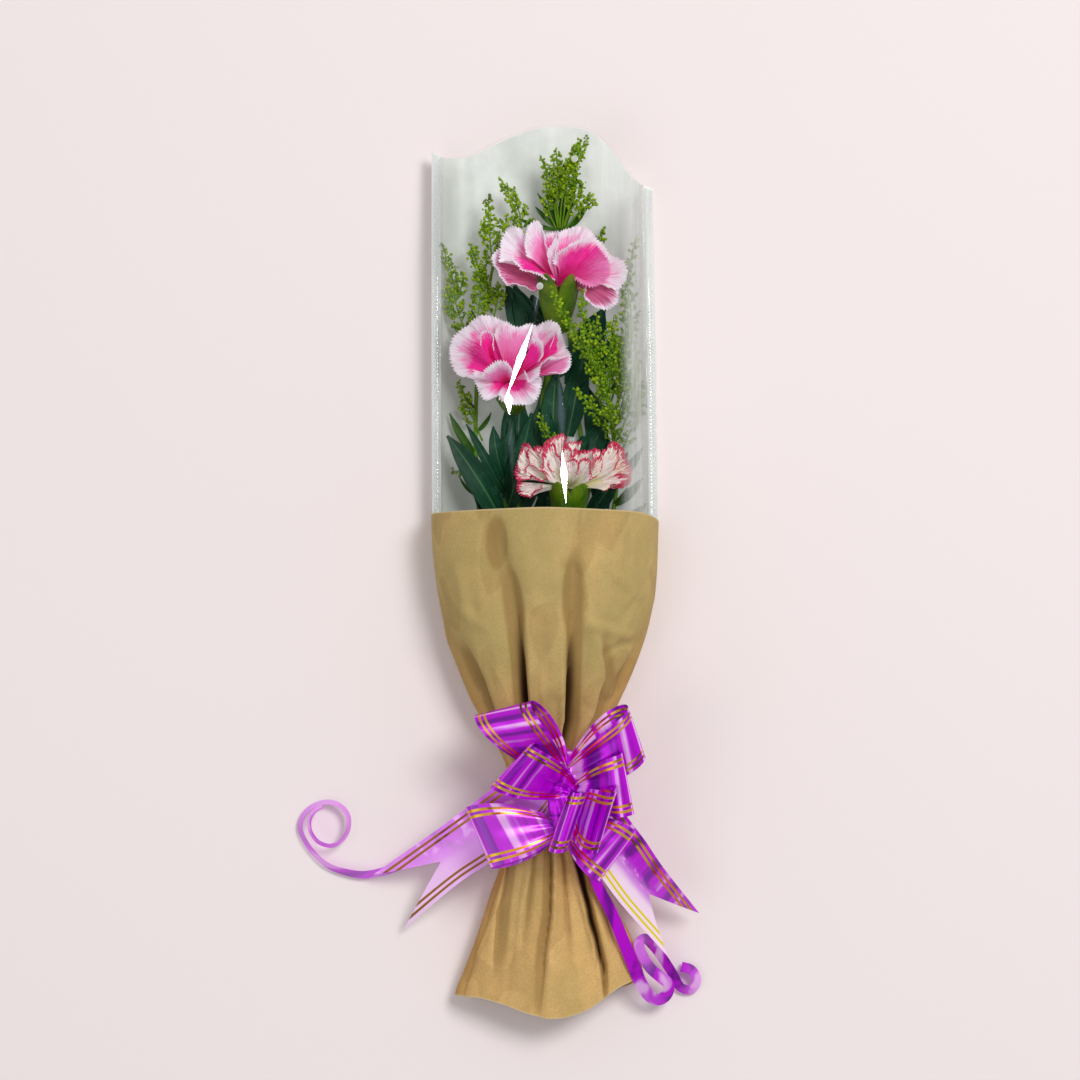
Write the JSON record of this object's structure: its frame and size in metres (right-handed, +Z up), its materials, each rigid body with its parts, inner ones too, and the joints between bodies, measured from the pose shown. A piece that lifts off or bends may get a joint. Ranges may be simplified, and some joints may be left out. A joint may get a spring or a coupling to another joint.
{
  "type": "bunch of carnations",
  "caption": "Carnations with goldenrod in a clear-fronted gift sleeve with a brown paper lower wrap, gathered and tied with a gift ribbon bow; lies on its back.",
  "frame": {"origin": "on the surface the bunch lies on, under the middle of the film window", "axes": "+Y runs from the cut stems to the blooms, +Z up from the surface, +X to the right as seen from above"},
  "size_m": [0.2122, 0.4671, 0.0753],
  "materials": {
    "kraft_paper": "matte",
    "clear_film": "gloss",
    "frosted_film": "matte",
    "pink_petals": "matte",
    "white_petals": "matte",
    "carnation_green": "satin",
    "goldenrod_green": "matte",
    "gift_ribbon": "gloss"
  },
  "bodies": {
    "root": {"paper_wrap": "kraft_paper", "film_front": "clear_film", "film_back": "frosted_film", "bloom_top": "pink_petals", "carnation_stem_top": "carnation_green", "bloom_left": "pink_petals", "carnation_stem_left": "carnation_green", "bloom_right": "white_petals", "carnation_stem_right": "carnation_green", "goldenrod_middle": "goldenrod_green", "goldenrod_left": "goldenrod_green", "goldenrod_right": "goldenrod_green", "bow_ribbon": "gift_ribbon", "tie_band": "gift_ribbon", "curl_ribbon_left": "gift_ribbon", "curl_ribbon_right": "gift_ribbon"}
  },
  "joints": []
}
